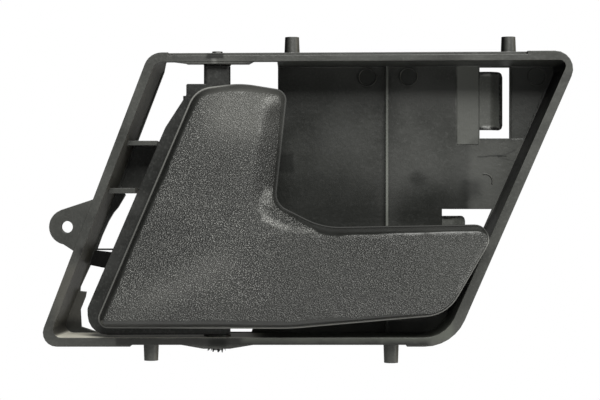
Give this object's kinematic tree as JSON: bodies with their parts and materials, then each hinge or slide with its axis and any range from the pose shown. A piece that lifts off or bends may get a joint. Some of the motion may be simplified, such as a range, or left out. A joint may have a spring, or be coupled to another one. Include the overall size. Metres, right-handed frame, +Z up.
{
  "type": "car door handle",
  "caption": "Interior car door handle: an L-shaped grained pull lever on an upright hinge pin in a slanted tray housing with pegs and a screw ear.",
  "frame": {"origin": "on the tray's rear face, below the middle of the top bar and near the middle of the housing's height", "axes": "+X towards the lever's free end, +Y into the door, +Z up; the front faces -Y"},
  "size_m": [0.1605, 0.031, 0.0996],
  "materials": {
    "housing_plastic": "moulded black plastic, lightly scuffed",
    "carrier_plastic": "smooth black plastic",
    "grained_plastic": "fine leather grain, semi-matt black",
    "tongue_plastic": "smooth black plastic",
    "clip_nylon": "natural nylon",
    "buffer_rubber": "black rubber",
    "pin_steel": "ground steel",
    "spring_steel": "drawn wire",
    "ring_steel": "blackened steel"
  },
  "bodies": {
    "housing": {"housing": "housing_plastic", "hinge_pin": "pin_steel", "upper_push_ring": "ring_steel", "lower_push_ring": "ring_steel", "wall_buffer": "buffer_rubber"},
    "lever": {"lever_carrier": "carrier_plastic", "lever_cover": "grained_plastic", "cover_screw_left": "spring_steel", "cover_screw_right": "spring_steel", "cover_screw_top": "spring_steel", "return_spring": "spring_steel"},
    "rod_clip": {"rod_clip": "clip_nylon"},
    "upper_latch_tongue": {"upper_latch_tongue": "tongue_plastic"},
    "lower_latch_tongue": {"lower_latch_tongue": "tongue_plastic"}
  },
  "joints": [
    {"name": "lever_pull", "type": "hinge", "parent": "housing", "child": "lever", "pos_m": [-0.0276, -0.0135, 0], "axis": [0, 0, -1], "range_deg": [0, 32], "stiffness_Nm_per_rad": 0.12, "springref_deg": -22.92},
    {"name": "rod_clip_swivel", "type": "hinge", "parent": "lever", "child": "rod_clip", "pos_m": [-0.0375, -0.0015, 0], "axis": [0, 0, 1], "range_deg": [-25, 25]},
    {"name": "upper_tongue_flex", "type": "hinge", "parent": "housing", "child": "upper_latch_tongue", "pos_m": [0.0541, -0.0012, 0.03], "axis": [0, 0, -1], "range_deg": [0, 15], "stiffness_Nm_per_rad": 0.3},
    {"name": "lower_tongue_flex", "type": "hinge", "parent": "housing", "child": "lower_latch_tongue", "pos_m": [0.0423, -0.0012, -0.0116], "axis": [0, 0, -1], "range_deg": [0, 15], "stiffness_Nm_per_rad": 0.3}
  ]
}
